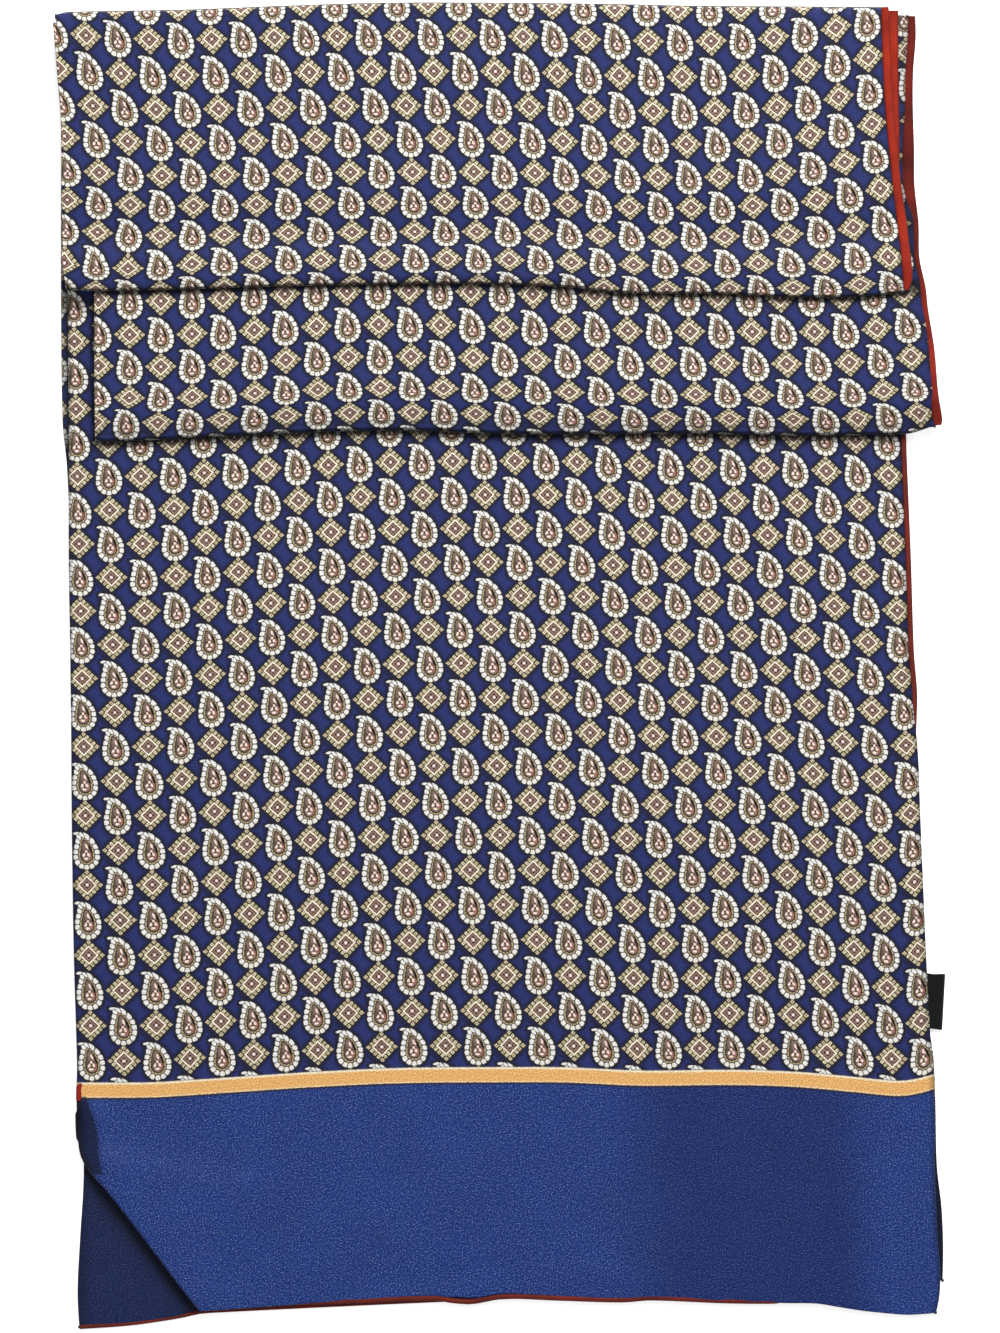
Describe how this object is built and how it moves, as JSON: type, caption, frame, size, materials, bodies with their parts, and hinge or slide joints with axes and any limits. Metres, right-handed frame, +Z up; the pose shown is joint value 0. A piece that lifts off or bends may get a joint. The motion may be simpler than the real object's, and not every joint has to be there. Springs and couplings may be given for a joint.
{
  "type": "folded neck scarf",
  "caption": "Long neck scarf folded flat: blue paisley-and-diamond foulard cloth, plain blue end panel, ochre band, red rolled hem and a small black tab.",
  "frame": {"origin": "on the surface the scarf lies on, under the middle of its outline", "axes": "+Z up from the surface, +Y along the scarf from its two ends towards the folded top, +X across it to the side with the label"},
  "size_m": [0.3125, 0.4644, 0.0119],
  "materials": {
    "scarf_cloth": "printed matt twill, royal blue with a small white, tan and mauve paisley and diamond repeat, a plain blue panel and an ochre band",
    "hem": "red rolled and overlocked edge",
    "label": "black woven satin tab"
  },
  "bodies": {
    "root": {"lower_layer": "scarf_cloth", "body": "scarf_cloth", "turned_corner": "scarf_cloth", "middle_fold": "scarf_cloth", "inside_layers": "scarf_cloth", "top_fold": "scarf_cloth", "lower_end_hem": "hem", "lower_left_hem": "hem", "lower_right_hem": "hem", "body_end_hem": "hem", "body_left_hem": "hem", "body_right_hem": "hem", "middle_left_hem": "hem", "middle_right_hem": "hem", "top_left_hem": "hem", "top_right_hem": "hem", "top_under_hem": "hem", "label": "label"}
  },
  "joints": []
}
